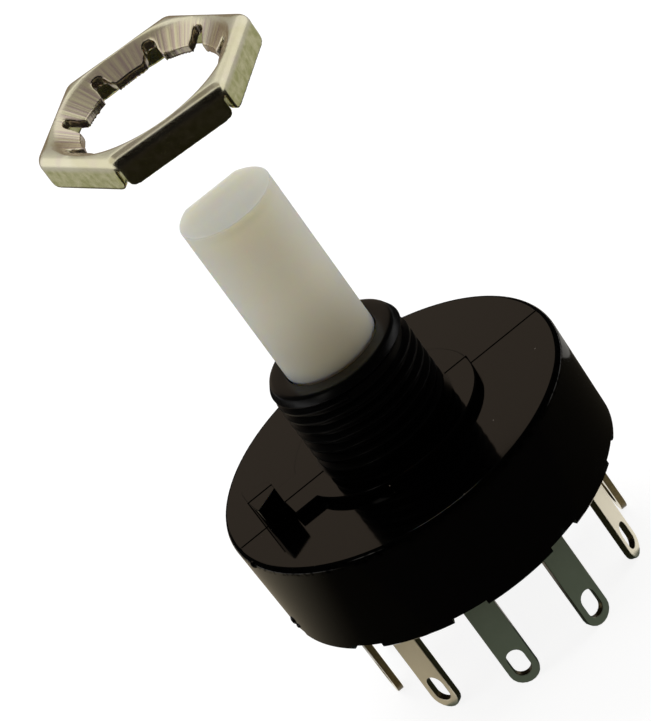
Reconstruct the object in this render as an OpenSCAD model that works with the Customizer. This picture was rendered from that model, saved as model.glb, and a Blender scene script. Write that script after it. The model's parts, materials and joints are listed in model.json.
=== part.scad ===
// Panel-mount rotary switch: a round moulded housing with a threaded bushing, a plain shaft with a flat,
// a ring of solder lugs behind, and a pressed hex nut held above the shaft, ready to go on.
// The panel seat is at z = 0, the shaft points to +Z, and the mould's parting plane is y = 0.

/* [Housing] */
// Radius of the housing at the edge of its front face
body_r_front = 12.05; // [11.8:0.05:12.6]
// Radius of the housing at its rear rim
body_r_rim = 11.75; // [11.6:0.05:11.8]
// Depth of the housing from the front face to the rear rim
body_depth = 7.2; // [7.1:0.05:7.6]
// Radius rolled onto the front edge
edge_r = 0.35; // [0.2:0.05:0.6]
// Thickness of the housing's roof
roof_t = 1.6; // [1.4:0.05:1.6]
// Width of each notch in the rear rim
notch_w = 2.8; // [2.2:0.1:3.2]
// Depth of each notch in the rear rim
notch_depth = 0.4; // [0.2:0.05:0.6]

/* [Panel seat and key] */
// Radius of the round collar that meets the panel
collar_r = 6.5; // [6:0.05:6.8]
// Height of the collar above the front face
collar_h = 0.6; // [0.4:0.05:0.8]
// Width of the arm that runs from the collar to the key
arm_w = 3.9; // [3:0.1:4.5]
// Height of the key above the front face
key_h = 2.15; // [1.5:0.05:2.6]
// Distance from the axis to the key's narrow inner end
key_in = 7.9; // [7.8:0.05:8.2]
// Radius of the key's outer face
key_out = 9.7; // [9.2:0.05:10.5]
// Width of the key's narrow end
key_w = 1.26; // [0.8:0.02:1.6]
// Angle between the key's side and the parting plane
key_flare = 30.5; // [15:0.5:40]

/* [Bushing] */
// Crest radius of the bushing's thread
thread_r = 4.69; // [4.6:0.01:4.7]
// Length of the thread above the panel seat
thread_len = 5.8; // [4:0.1:6]
// Length of the whole bushing above the panel seat
bushing_len = 6.4; // [6.2:0.1:9]
// Radius of the bushing's mouth, where the coned lead above the thread ends
lead_r = 4.35; // [4:0.05:4.5]
// Radius of the bore that the shaft turns in
bore_r = 3.225; // [3.2:0.005:3.25]

/* [Shaft] */
// Radius of the shaft
shaft_r = 3.175; // [3.165:0.005:3.18]
// Height of the shaft's tip above the panel seat
shaft_len = 18.5; // [14:0.1:22]
// Distance from the axis to the flat
flat_d = 2.5; // [2.4:0.05:2.8]
// Chamfer on the shaft's tip
tip_chamfer = 0.3; // [0.1:0.05:0.5]

/* [Terminals] */
// Radius of the ring that the solder lugs stand on
ring_r = 9.15; // [9.1:0.05:9.2]
// Width of a solder lug
lug_w = 2.0; // [1.6:0.05:2.1]
// Thickness of the terminal strip
lug_t = 0.45; // [0.35:0.05:0.45]
// Distance from the rear rim to the tips of the lugs
lug_drop = 7.95; // [6:0.05:10]
// Width of a lug's eyelet
eye_w = 1.15; // [0.8:0.05:1.2]
// Length of a lug's eyelet
eye_l = 2.0; // [1.4:0.1:2.6]
// Metal left between the eyelet and the tip
eye_end = 0.65; // [0.4:0.05:1]

/* [Nut] */
// Width of the nut across its flats
nut_af = 13.2; // [12.7:0.1:13.4]
// Height of the nut
nut_h = 2.25; // [2.1:0.05:2.6]
// Thickness of the nut's sheet
nut_t = 0.55; // [0.45:0.05:0.6]
// Outer radius of the bend between the nut's top and its flanges
nut_bend = 0.8; // [0.65:0.05:0.9]
// Height of the nut's top above the panel seat, with the nut held clear of the shaft
nut_top = 27.9; // [24:0.1:34]
// Turn of the nut's flats about the axis
nut_turn = 23; // [0:1:59]
// Number of bent-in fingers
fingers = 9; // [8:1:10]
// Turn of the first finger about the axis
finger_turn = 4.5; // [0:0.5:39.5]
// Drop of the fingers' tips below the nut's top
finger_drop = 1.15; // [0.8:0.05:1.4]

/* [Hidden] */
$fn = 96;
eps = 0.05;

// Terminals on the ring, one for each position of the switch
positions = 10;
step = 360 / positions;
bend_in = 0.25;
corner = lug_t + bend_in;

face_z = -collar_h;
rim_z = face_z - body_depth;
roof_z = face_z - roof_t;
lug_tip_z = rim_z - lug_drop;

// Shallow relief at the bushing's mouth, between the journal and the free end; the flat runs out in it
relief_r = 2.95;
relief_w = 0.9;
relief_top_z = bushing_len + eps;
flat_end_z = relief_top_z - relief_w / 3;

// Base: a disc in the rear of the cup, with its rear face just proud of the rim
base_r = 10.5;
base_seat_z = -4.9;
base_floor_z = -5.35;
base_proud = 0.4;
base_rear_z = rim_z - base_proud;
base_floor_r = 9.75;
base_gap = 0.05;
base_chamfer = 0.5;
bead_r = 0.15;
bead_z = -6.4;
boss_r = 2.7;
boss_h = 0.6;
boss_slope = 0.2;

// Rotor: a disc on the inner end of the shaft, with a pivot in the base
rotor_r = 8.25;
rotor_gap = 0.35;
rotor_top_z = roof_z - rotor_gap;
rotor_bottom_z = -4.6;
pivot_r = 1.6;
pivot_z = -7.0;
pivot_hole_r = 1.65;
pivot_hole_z = -7.2;

// Detent: two balls in a cross hole, riding on a ring of scallops. The balls stand at the crests.
ball_r = 0.79;
ball_z = (rotor_top_z + rotor_bottom_z) / 2;
ball_gap = 0.03;
ball_hole_r = 0.84;
crest_r = 8.77;
ball_at = crest_r - ball_r - ball_gap;
scallop_r = 1.0;
scallop_depth = 0.33;
scallop_at = crest_r + scallop_depth - scallop_r;
detent_az = 90;
coil_r = 0.58;
coil_wire_r = 0.14;
coil_turns = 12;
coil_gap = 0.06;

// Stops: a tab on the rotor and a block in the housing, which leave nine steps of travel
stop_gap_deg = 0.5;
stop_gap = 0.08;
stop_block_deg = 21;
stop_tab_deg = step - stop_block_deg - 2 * stop_gap_deg;
stop_block_z = ball_z + ball_r + eps;
stop_block_in = 8.4;
stop_tab_out = 8.62;
stop_tab_in = 7.0;
stop_tab_top = roof_z - stop_gap;
stop_block_az = -45;
stop_tab_az = stop_block_az - (stop_block_deg + stop_tab_deg) / 2 - stop_gap_deg;

// Contacts: pads and the common ring lie flush with the base's floor, and the wiper bridges them
contact_gap = 0.05;
pad_in = 6.7;
common_in = 3.6;
common_out = 5.2;
common_lug_r = 5.6;
common_az = 90;
wiper_t = 0.22;
wiper_w = 1.8;
wiper_mid_r = 5.95;
wiper_mid_w = 1.3;
wiper_out_r = 7.6;
wiper_in_r = 4.4;
wiper_lift = 0.02;
wiper_toe_r = 0.25;
peg_r = 0.45;
peg_h = 0.5;
peg_gap = 0.03;

washer_in = 3.5;
washer_out = 5.6;
washer_t = 0.3;
washer_gap = 0.02;

// Nut: the top's hole, the cone of fingers in it with the slots between them, and the slits at the corners
nut_hole_r = 6.25;
nut_root_r = 6.4;
nut_cone_r = 6.15;
nut_corner_r = 7.42;
finger_gap = 0.04;
finger_tip_r = thread_r + finger_gap;
sheet_drop = 0.64;
slot_in_r = 3.7;
slot_in_w = 2.2;
slot_mid_r = 5.05;
slot_mid_w = 0.92;
slot_root_r = 5.4;
slot_root_w = 0.85;
slit_w = 0.3;
slit_in_r = nut_af / 2 - 2 * nut_t;
slit_drop = 0.95;
flange_round = 0.6;

// Ring sector between two radii, from az - deg / 2 to az + deg / 2, for angles under 90 degrees
module sector(r_in, r_out, az, deg, h) {
    reach = r_out * 1.5;
    rotate([0, 0, az])
        intersection() {
            difference() {
                cylinder(r = r_out, h = h);
                translate([0, 0, -eps])
                    cylinder(r = r_in, h = h + 2 * eps);
            }
            linear_extrude(h)
                polygon([
                    [0, 0],
                    [reach * cos(deg / 2), -reach * sin(deg / 2)],
                    [reach * cos(deg / 2), reach * sin(deg / 2)]
                ]);
        }
}

// Ring-shaped cutter that rolls a radius onto the upper outer edge of a round body
module edge_round(r_body, z_top, r_edge) {
    rotate_extrude()
        difference() {
            translate([r_body - r_edge, z_top - r_edge])
                square(r_edge + eps);
            translate([r_body - r_edge, z_top - r_edge])
                circle(r_edge, $fn = 48);
        }
}

// Wedge key that points at the axis and straddles the parting plane
module key() {
    length = key_out - key_in;
    flare = length * tan(key_flare);
    translate([0, 0, face_z - eps])
        intersection() {
            linear_extrude(key_h + eps)
                polygon([
                    [-key_in, -key_w / 2],
                    [-key_in, key_w / 2],
                    [-key_out, key_w / 2 + flare],
                    [-key_out, -key_w / 2 - flare]
                ]);
            cylinder(r = key_out, h = key_h + eps);
        }
}

// Threaded part of the bushing as a plain crest cylinder, and the coned lead above it
module bushing() {
    translate([0, 0, face_z])
        cylinder(r = thread_r, h = thread_len - face_z);
    translate([0, 0, thread_len])
        cylinder(r1 = thread_r, r2 = lead_r, h = bushing_len - thread_len);
}

// Room inside the cup: the rotor's space with the detent scallops, then the base's pocket
module housing_room() {
    translate([0, 0, base_seat_z - eps])
        cylinder(r = crest_r, h = roof_z - base_seat_z + eps);
    for (i = [0 : positions - 1])
        rotate([0, 0, detent_az + i * step])
            translate([scallop_at, 0, base_seat_z - eps])
                cylinder(r = scallop_r, h = stop_block_z - base_seat_z, $fn = 48);
    translate([0, 0, rim_z - eps])
        cylinder(r = base_r + base_gap, h = base_seat_z - rim_z + eps);
    translate([0, 0, bead_z])
        rotate_extrude()
            translate([base_r + base_gap, 0])
                circle(bead_r + base_gap, $fn = 32);
}

// Block under the roof that the rotor's tab meets at both ends of its travel
module stop_block() {
    translate([0, 0, stop_block_z])
        sector(stop_block_in, crest_r + eps, stop_block_az, stop_block_deg, roof_z + eps - stop_block_z);
}

module housing() {
    color("#1d1b1a") {
        difference() {
            union() {
                translate([0, 0, rim_z])
                    cylinder(r1 = body_r_rim, r2 = body_r_front, h = body_depth);
                translate([0, 0, face_z - eps])
                    cylinder(r = collar_r, h = collar_h + eps);
                translate([-key_in, -arm_w / 2, face_z - eps])
                    cube([key_in, arm_w, collar_h + eps]);
                key();
                bushing();
            }
            edge_round(body_r_front, face_z, edge_r);
            translate([0, 0, roof_z - eps])
                cylinder(r = bore_r, h = bushing_len - roof_z + 2 * eps);
            housing_room();
            for (i = [0 : positions - 1])
                rotate([0, 0, i * step])
                    translate([base_r - eps, -notch_w / 2, rim_z - eps])
                        cube([body_r_rim, notch_w, notch_depth + eps]);
        }
        stop_block();
    }
}

// Solder lug on the ring's +X side: a straight strip with a round tip and a long eyelet
module lug(r, z_top) {
    eye_low = lug_tip_z + eye_end + eye_w / 2;
    eye_high = lug_tip_z + eye_end + eye_l - eye_w / 2;
    difference() {
        union() {
            translate([r - lug_t / 2, -lug_w / 2, lug_tip_z + lug_w / 2])
                cube([lug_t, lug_w, z_top - lug_tip_z - lug_w / 2]);
            translate([r - lug_t / 2, 0, lug_tip_z + lug_w / 2])
                rotate([0, 90, 0])
                    cylinder(r = lug_w / 2, h = lug_t);
        }
        for (z = [eye_low, eye_high])
            translate([r - lug_t, 0, z])
                rotate([0, 90, 0])
                    cylinder(r = eye_w / 2, h = 2 * lug_t, $fn = 48);
        translate([r - lug_t, -eye_w / 2, eye_low])
            cube([2 * lug_t, eye_w, eye_high - eye_low]);
    }
}

// Quarter-round bend at the corner of a terminal, centred on the inside of the bend
module bend(r, z_top) {
    translate([r + lug_t / 2 - corner, lug_w / 2, z_top - corner])
        rotate([90, 0, 0])
            linear_extrude(lug_w)
                intersection() {
                    difference() {
                        circle(corner, $fn = 48);
                        circle(bend_in, $fn = 48);
                    }
                    square(corner);
                }
}

// Ring terminal on the +X side: a flat pad for the wiper, a bend, and the lug through the base
module terminal_blank() {
    translate([pad_in, -lug_w / 2, base_floor_z - lug_t])
        cube([ring_r + lug_t / 2 - corner - pad_in, lug_w, lug_t]);
    bend(ring_r, base_floor_z);
    lug(ring_r, base_floor_z - corner);
}

module terminal(i) {
    color("#9b9a86")
        rotate([0, 0, i * step])
            terminal_blank();
}

module common_terminal() {
    color("#9b9a86")
        rotate([0, 0, common_az]) {
            translate([0, 0, base_floor_z - lug_t])
                difference() {
                    union() {
                        cylinder(r = common_out, h = lug_t);
                        translate([common_in, -lug_w / 2, 0])
                            cube([common_lug_r + lug_t / 2 - corner - common_in, lug_w, lug_t]);
                    }
                    translate([0, 0, -eps])
                        cylinder(r = common_in, h = lug_t + 2 * eps);
                }
            bend(common_lug_r, base_floor_z);
            lug(common_lug_r, base_floor_z - corner);
        }
}

// Seat for a terminal: a recess for its pad, and a slot for its lug right through the base
module terminal_seat(r, r_in) {
    w = lug_w + 2 * contact_gap;
    bend_room = bend_in + contact_gap;
    slot_in = r - lug_t / 2 - contact_gap;
    slot_out = r + lug_t / 2 + contact_gap;
    translate([r_in - contact_gap, -w / 2, base_floor_z - lug_t])
        cube([slot_out - r_in + contact_gap, w, lug_t + eps]);
    translate([slot_in, -w / 2, base_rear_z - eps])
        cube([slot_out - slot_in, w, base_floor_z - base_rear_z]);
    translate([slot_in - bend_room, -w / 2, base_floor_z - lug_t - bend_room])
        cube([bend_room + eps, w, bend_room + eps]);
}

module base() {
    color("#1a1918")
        difference() {
            union() {
                translate([0, 0, base_rear_z + base_chamfer])
                    cylinder(r = base_r, h = base_seat_z - base_rear_z - base_chamfer);
                translate([0, 0, base_rear_z])
                    cylinder(r1 = base_r - base_chamfer, r2 = base_r, h = base_chamfer);
                translate([0, 0, bead_z])
                    rotate_extrude()
                        translate([base_r, 0])
                            circle(bead_r, $fn = 32);
                translate([0, 0, base_rear_z - boss_h])
                    cylinder(r1 = boss_r - boss_slope, r2 = boss_r, h = boss_h);
            }
            translate([0, 0, base_floor_z])
                cylinder(r = base_floor_r, h = base_seat_z - base_floor_z + eps);
            translate([0, 0, pivot_hole_z])
                cylinder(r = pivot_hole_r, h = base_floor_z - pivot_hole_z + eps);
            for (i = [0 : positions - 1])
                rotate([0, 0, i * step])
                    terminal_seat(ring_r, pad_in);
            rotate([0, 0, common_az])
                terminal_seat(common_lug_r, common_out);
            translate([0, 0, base_floor_z - lug_t])
                difference() {
                    cylinder(r = common_out + contact_gap, h = lug_t + eps);
                    translate([0, 0, -eps])
                        cylinder(r = common_in - contact_gap, h = lug_t + 3 * eps);
                }
        }
}

// Tab on the rotor's rim that meets the stop block
module stop_tab() {
    low_z = stop_block_z + eps;
    translate([0, 0, low_z])
        sector(stop_tab_in, stop_tab_out, stop_tab_az, stop_tab_deg, stop_tab_top - low_z);
}

// Shaft and rotor in one moulding: flat at the tip, disc, stop tab, pivot, and a cross hole for the detent
module shaft() {
    color("#e4e2d8")
        difference() {
            union() {
                translate([0, 0, rotor_bottom_z])
                    cylinder(r = shaft_r, h = shaft_len - tip_chamfer - rotor_bottom_z);
                translate([0, 0, shaft_len - tip_chamfer])
                    cylinder(r1 = shaft_r, r2 = shaft_r - tip_chamfer, h = tip_chamfer);
                translate([0, 0, rotor_bottom_z])
                    cylinder(r = rotor_r, h = rotor_top_z - rotor_bottom_z);
                translate([0, 0, pivot_z])
                    cylinder(r = pivot_r, h = rotor_bottom_z - pivot_z + eps);
                stop_tab();
                translate([wiper_mid_r, 0, rotor_bottom_z - peg_h])
                    cylinder(r = peg_r, h = peg_h + eps, $fn = 32);
            }
            translate([-shaft_r, flat_d, flat_end_z])
                cube([2 * shaft_r, shaft_r, shaft_len + eps - flat_end_z]);
            translate([0, 0, relief_top_z - relief_w])
                difference() {
                    cylinder(r = shaft_r + eps, h = relief_w);
                    translate([0, 0, -eps])
                        cylinder(r = relief_r, h = relief_w + 2 * eps);
                }
            rotate([0, 0, detent_az])
                translate([-rotor_r - eps, 0, ball_z])
                    rotate([0, 90, 0])
                        cylinder(r = ball_hole_r, h = 2 * (rotor_r + eps), $fn = 48);
        }
}

module thrust_washer() {
    color("#c9c6b8")
        translate([0, 0, roof_z - washer_t - washer_gap])
            difference() {
                cylinder(r = washer_out, h = washer_t);
                translate([0, 0, -eps])
                    cylinder(r = washer_in, h = washer_t + 2 * eps);
            }
}

module detent_ball(side) {
    color("#b9bcc0")
        rotate([0, 0, detent_az])
            translate([side * ball_at, 0, ball_z])
                sphere(r = ball_r, $fn = 48);
}

// Coil spring across the rotor, between the inner sides of the two balls
module detent_spring() {
    length = 2 * (ball_at - ball_r - coil_gap);
    color("#a9adb2")
        rotate([0, 0, detent_az])
            translate([-length / 2, 0, ball_z])
                rotate([0, 90, 0])
                    linear_extrude(length, twist = -360 * coil_turns, slices = 14 * coil_turns, $fn = 8)
                        translate([coil_r, 0])
                            circle(coil_wire_r, $fn = 8);
}

// Gull-wing leaf: flat in the middle under the rotor, with two round toes that just clear the contacts
module wiper() {
    top = rotor_bottom_z;
    toe_z = base_floor_z + wiper_lift + wiper_toe_r;
    shoulder_in = wiper_mid_r - wiper_mid_w / 2;
    shoulder_out = wiper_mid_r + wiper_mid_w / 2;
    color("#b58d4a")
        difference() {
            translate([0, wiper_w / 2, 0])
                rotate([90, 0, 0]) {
                    linear_extrude(wiper_w)
                        polygon([
                            [wiper_in_r, toe_z + wiper_t / 2],
                            [shoulder_in, top],
                            [shoulder_out, top],
                            [wiper_out_r, toe_z + wiper_t / 2],
                            [wiper_out_r, toe_z - wiper_t / 2],
                            [shoulder_out, top - wiper_t],
                            [shoulder_in, top - wiper_t],
                            [wiper_in_r, toe_z - wiper_t / 2]
                        ]);
                    for (toe_r = [wiper_in_r, wiper_out_r])
                        translate([toe_r, toe_z, 0])
                            cylinder(r = wiper_toe_r, h = wiper_w, $fn = 32);
                }
            translate([wiper_mid_r, 0, top - 2 * wiper_t])
                cylinder(r = peg_r + peg_gap, h = 3 * wiper_t, $fn = 32);
        }
}

// Straight bar whose upper edges are rolled; three of them cross to make a hex cap with bent edges
module bent_bar(width, height, r) {
    rotate([90, 0, 0])
        linear_extrude(3 * width, center = true) {
            translate([-width / 2, -eps])
                square([width, height - r + eps]);
            translate([-width / 2 + r, 0])
                square([width - 2 * r, height]);
            for (side = [-1, 1])
                translate([side * (width / 2 - r), height - r])
                    circle(r, $fn = 48);
        }
}

module hex_cap(width, height, r) {
    intersection() {
        bent_bar(width, height, r);
        rotate([0, 0, 60])
            bent_bar(width, height, r);
        rotate([0, 0, 120])
            bent_bar(width, height, r);
    }
}

// Cutter at a corner on the +X side: a slit between two flanges, flared below to round their ends
module corner_slit() {
    flare_w = slit_w / 2 + flange_round;
    translate([slit_in_r, 0, 0])
        rotate([90, 0, 90])
            linear_extrude(nut_af) {
                translate([-slit_w / 2, -eps])
                    square([slit_w, nut_h - slit_drop + eps]);
                difference() {
                    translate([-flare_w, -eps])
                        square([2 * flare_w, flange_round + eps]);
                    for (side = [-1, 1])
                        translate([side * flare_w, flange_round])
                            circle(flange_round, $fn = 48);
                }
            }
}

// Slot between two fingers on the +X side: wide where it cuts the fingers' corners, with a round root
module finger_slot() {
    linear_extrude(2 * nut_h)
        polygon([
            [slot_in_r, -slot_in_w / 2],
            [slot_mid_r, -slot_mid_w / 2],
            [slot_root_r, -slot_root_w / 2],
            [slot_root_r, slot_root_w / 2],
            [slot_mid_r, slot_mid_w / 2],
            [slot_in_r, slot_in_w / 2]
        ]);
    translate([slot_root_r, 0, 0])
        cylinder(r = slot_root_w / 2, h = 2 * nut_h, $fn = 48);
}

// Cone of bent-in fingers that catch the thread
module nut_fingers() {
    difference() {
        rotate_extrude()
            polygon([
                [nut_root_r, nut_h],
                [nut_cone_r, nut_h],
                [finger_tip_r, nut_h - finger_drop],
                [finger_tip_r, nut_h - finger_drop - sheet_drop],
                [nut_root_r, nut_h - nut_t]
            ]);
        for (i = [0 : fingers - 1])
            rotate([0, 0, (i + 0.5) * 360 / fingers])
                finger_slot();
    }
}

module nut() {
    color("#a89b62")
        translate([0, 0, nut_top - nut_h]) {
            rotate([0, 0, nut_turn])
                difference() {
                    intersection() {
                        hex_cap(nut_af, nut_h, nut_bend);
                        cylinder(r = nut_corner_r, h = nut_h);
                    }
                    hex_cap(nut_af - 2 * nut_t, nut_h - nut_t, nut_bend - nut_t);
                    cylinder(r = nut_hole_r, h = 2 * nut_h);
                    for (i = [0 : 5])
                        rotate([0, 0, 30 + i * 60])
                            corner_slit();
                }
            intersection() {
                rotate([0, 0, finger_turn])
                    nut_fingers();
                rotate([0, 0, nut_turn])
                    hex_cap(nut_af, nut_h, nut_bend);
            }
        }
}

housing();
base();
shaft();
thrust_washer();
detent_ball(1);  // detent_ball_1
detent_ball(-1);  // detent_ball_2
detent_spring();
wiper();
common_terminal();
terminal(0);  // terminal_1
terminal(1);  // terminal_2
terminal(2);  // terminal_3
terminal(3);  // terminal_4
terminal(4);  // terminal_5
terminal(5);  // terminal_6
terminal(6);  // terminal_7
terminal(7);  // terminal_8
terminal(8);  // terminal_9
terminal(9);  // terminal_10
nut();
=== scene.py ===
# %% [markdown]
# # A panel-mount rotary switch
# The switch has a glossy black moulded housing, a white nylon shaft, ten solder lugs behind, and a pressed
# hex nut held in the air above the shaft. The CAD frame gives every piece its place. This script gives the
# pieces that show their soft edges, their thread and their finish, and it never moves the frame.

# %% Load the CAD frame
import json
import math

import bmesh
import bpy
from mathutils import Matrix, Vector


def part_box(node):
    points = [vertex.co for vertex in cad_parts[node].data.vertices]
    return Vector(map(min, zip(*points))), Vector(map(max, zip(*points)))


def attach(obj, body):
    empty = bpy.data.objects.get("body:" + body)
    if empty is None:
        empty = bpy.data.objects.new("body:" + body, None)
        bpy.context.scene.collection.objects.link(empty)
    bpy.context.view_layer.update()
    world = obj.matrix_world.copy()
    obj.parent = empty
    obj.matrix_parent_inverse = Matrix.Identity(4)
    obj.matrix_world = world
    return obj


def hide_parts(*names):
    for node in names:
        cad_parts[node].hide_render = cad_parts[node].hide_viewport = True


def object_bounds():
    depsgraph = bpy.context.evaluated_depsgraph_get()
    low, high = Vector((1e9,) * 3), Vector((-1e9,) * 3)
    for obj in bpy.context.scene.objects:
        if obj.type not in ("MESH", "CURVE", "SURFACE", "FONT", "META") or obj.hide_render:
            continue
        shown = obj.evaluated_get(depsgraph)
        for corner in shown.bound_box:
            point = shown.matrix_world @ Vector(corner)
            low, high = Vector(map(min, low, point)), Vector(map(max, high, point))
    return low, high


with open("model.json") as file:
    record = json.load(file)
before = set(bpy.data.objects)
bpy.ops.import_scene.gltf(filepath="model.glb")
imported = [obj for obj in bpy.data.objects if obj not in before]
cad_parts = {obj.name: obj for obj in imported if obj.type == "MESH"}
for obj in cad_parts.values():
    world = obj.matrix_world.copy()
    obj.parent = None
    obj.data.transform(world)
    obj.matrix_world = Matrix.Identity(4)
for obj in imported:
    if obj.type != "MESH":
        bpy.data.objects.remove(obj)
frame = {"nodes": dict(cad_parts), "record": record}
cad_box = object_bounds()
MM = 0.001

mount_dims = {mount["name"]: mount["dims"] for mount in frame["record"]["mounts"]}
box_mm = [[round(c / MM, 2) for c in corner] for corner in cad_box]
print("nodes:", len(frame["nodes"]), "box in mm:", box_mm)

# %% [markdown]
# ## Camera
# A product picture is taken with a long lens from a little above, and this one was then turned on the page,
# so that the shaft leans to the left. A camera fitted to the outlines of the housing and the shaft gives an
# elevation, a roll, a distance and a focal length. The middle of the housing's front face lands on one
# pixel, and the camera slides sideways to put it there, so no lens shift is needed.

# %% Camera from the fitted view
PICTURE = Vector((651, 721))
VIEW_AZIMUTH = math.radians(-5.6)
VIEW_ELEVATION = math.radians(28.15)
VIEW_ROLL = math.radians(-36.13)
VIEW_DISTANCE = 240 * MM
FOCAL_PIXELS = 3892.9
AIM_POINT = Vector((0, 0, -0.6 * MM))
AIM_PIXEL = Vector((388.87, 428.70))
SENSOR = 36

back = Vector((
    math.sin(VIEW_AZIMUTH) * math.cos(VIEW_ELEVATION),
    -math.cos(VIEW_AZIMUTH) * math.cos(VIEW_ELEVATION),
    math.sin(VIEW_ELEVATION),
))
level_right = Vector((0, 0, 1)).cross(back).normalized()
turn = Matrix.Rotation(VIEW_ROLL, 3, back)
right = turn @ level_right
up = turn @ back.cross(level_right)
slide = (AIM_PIXEL - PICTURE / 2) / FOCAL_PIXELS

camera_data = bpy.data.cameras.new("camera")
camera_data.sensor_width = SENSOR
camera_data.lens = FOCAL_PIXELS * SENSOR / max(PICTURE)
camera = bpy.data.objects.new("camera", camera_data)
camera.matrix_world = Matrix((right, up, back)).transposed().to_4x4()
camera.location = AIM_POINT + (back - slide.x * right + slide.y * up) * VIEW_DISTANCE
bpy.context.collection.objects.link(camera)
bpy.context.scene.camera = camera
bpy.context.scene.view_settings.view_transform = "Standard"
print("lens in mm:", round(camera_data.lens, 1), "camera at:", [round(c / MM, 1) for c in camera.location])

# %% [markdown]
# ## Tools for finishes
# Colours are written as hex values, as in a paint program, and shaders want linear light, so one function
# turns the one into the other. A second adds a shader node with its options and its inputs in one line,
# which keeps a material short enough to read. A third turns a real size in millimetres into a texture's
# scale.

# %% Helpers for materials
# A Mix node has a pair of inputs for each kind of value. These are its factor and its pair of colours.
FACTOR, COLOUR_A, COLOUR_B = 0, 6, 7


def linear(hex_code):
    channels = [int(hex_code[i:i + 2], 16) / 255 for i in (1, 3, 5)]
    return [c / 12.92 if c <= 0.04045 else ((c + 0.055) / 1.055) ** 2.4 for c in channels] + [1.0]


def add_node(tree, kind, inputs, **options):
    """Adds a node. An input is a constant, a socket, or another node, whose first output in use is taken."""
    made = tree.nodes.new("ShaderNode" + kind)
    for name, value in options.items():
        setattr(made, name, value)
    for socket, value in inputs.items():
        if isinstance(value, bpy.types.Node):
            value = next(output for output in value.outputs if output.enabled)
        if isinstance(value, bpy.types.NodeSocket):
            tree.links.new(value, made.inputs[socket])
        else:
            made.inputs[socket].default_value = value
    return made


def per_size(mm):
    return 1 / (mm * MM)


def new_material(name):
    material = bpy.data.materials.new(name)
    material.use_nodes = True
    material.node_tree.nodes.clear()
    return material, material.node_tree


def surface_from(tree, shader):
    add_node(tree, "OutputMaterial", {"Surface": shader})


print("middle grey in linear light:", round(linear("#808080")[0], 3))

# %% [markdown]
# ## Studio
# The picture has a plain white ground. The floor and the world glow white only for rays that come from the
# camera, from gloss or through glass, so the ground is white without more light on the object, and a part
# of the floor still takes light, which keeps a soft shadow.

# %% Floor and world
WHITE = (1, 1, 1, 1)
PAPER, SHADED_PAPER = (0.8, 0.8, 0.8, 1), (0.25, 0.25, 0.25, 1)
FLOOR_SIZE, FLOOR_GLOW = (4000, 4000), 0.86
WORLD_FILL = 0.34
floor_z = cad_box[0][2]


def seen_directly(tree):
    path = add_node(tree, "LightPath", {}).outputs
    seen = add_node(tree, "Math", {0: path["Is Camera Ray"], 1: path["Is Glossy Ray"]}, operation="MAXIMUM")
    return add_node(tree, "Math", {0: seen, 1: path["Is Transmission Ray"]}, operation="MAXIMUM")


def object_from(bm, name):
    mesh = bpy.data.meshes.new(name)
    bm.to_mesh(mesh)
    bm.free()
    made = bpy.data.objects.new(name, mesh)
    bpy.context.collection.objects.link(made)
    return made


def stage_sheet(name, bm, material):
    sheet = object_from(bm, name)
    sheet.data.materials.append(material)
    return sheet


def plane(size, place):
    bm = bmesh.new()
    bmesh.ops.create_grid(bm, x_segments=1, y_segments=1, size=0.5)
    bmesh.ops.scale(bm, vec=(size[0] * MM, size[1] * MM, 1), verts=bm.verts)
    bmesh.ops.transform(bm, matrix=place, verts=bm.verts)
    return bm


white_floor, tree = new_material("white_paper_floor")
paper = add_node(tree, "BsdfDiffuse", {"Color": PAPER})
shaded = add_node(tree, "BsdfDiffuse", {"Color": SHADED_PAPER})
glow = add_node(tree, "Emission", {"Color": WHITE, "Strength": FLOOR_GLOW})
ground = add_node(tree, "AddShader", {0: shaded, 1: glow})
surface_from(tree, add_node(tree, "MixShader", {0: seen_directly(tree), 1: paper, 2: ground}))
stage_sheet("floor", plane(FLOOR_SIZE, Matrix.Translation((0, 0, floor_z))), white_floor)

world = bpy.data.worlds.new("white_room")
world.use_nodes = True
tree = world.node_tree
tree.nodes.clear()
fill = add_node(tree, "MapRange", {"Value": seen_directly(tree), "To Min": WORLD_FILL, "To Max": 1.0})
room = add_node(tree, "Background", {"Color": WHITE, "Strength": fill})
add_node(tree, "OutputWorld", {"Surface": room})
bpy.context.scene.world = world
print("floor at mm:", round(floor_z / MM, 2))

# %% [markdown]
# A photographer sets cards round a glossy thing, because a black moulding shows little but what it mirrors.
# The flat face mirrors a warm grey card behind it. A dark roof with two wings hangs over the housing, and
# low dark cards stand close behind and beside it, so its rounded edges and its thread keep only thin
# highlights. The roof hides nothing from the nut above it, because its upper side lets light pass, and
# three cards higher up give the nut's fingers their dusty tones. Small cards on the floor tint the lugs,
# and a pale strip there puts a gleam on the right end of the wall. Gloss alone sees these cards, so they
# neither light the object nor shade it.

# %% Cards that only gloss sees
ORIGIN, AXIS = (0, 0, 0), (0, 0, 1)
CARD_LIFT, FRONT_LIFT = 0.02, 0.015
CANOPY_R, CANOPY_HALF_W, CANOPY_DEG, CANOPY_STEPS = 300, 600, 66, 14
ROOF_CARD_Z, SPOT_Z, HIGH_CARD_Z = 21, 20.5, 75
BEHIND_Y, BESIDE_X, LOW_CARD_Z = 22, 24, 2.5
ROOF_DARK, LOW_DARK, GREEN_GREY = "#141312", "#1c1a18", "#525e5a"
floor_mm = floor_z / MM


def card_paper(name, hex_code):
    """Paper that shows its colour on its front and lets light pass from behind"""
    finish, card_tree = new_material(name)
    front = add_node(card_tree, "Emission", {"Color": linear(hex_code)})
    behind = add_node(card_tree, "BsdfTransparent", {})
    side = add_node(card_tree, "NewGeometry", {}).outputs["Backfacing"]
    surface_from(card_tree, add_node(card_tree, "MixShader", {0: side, 1: front, 2: behind}))
    return finish


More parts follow.
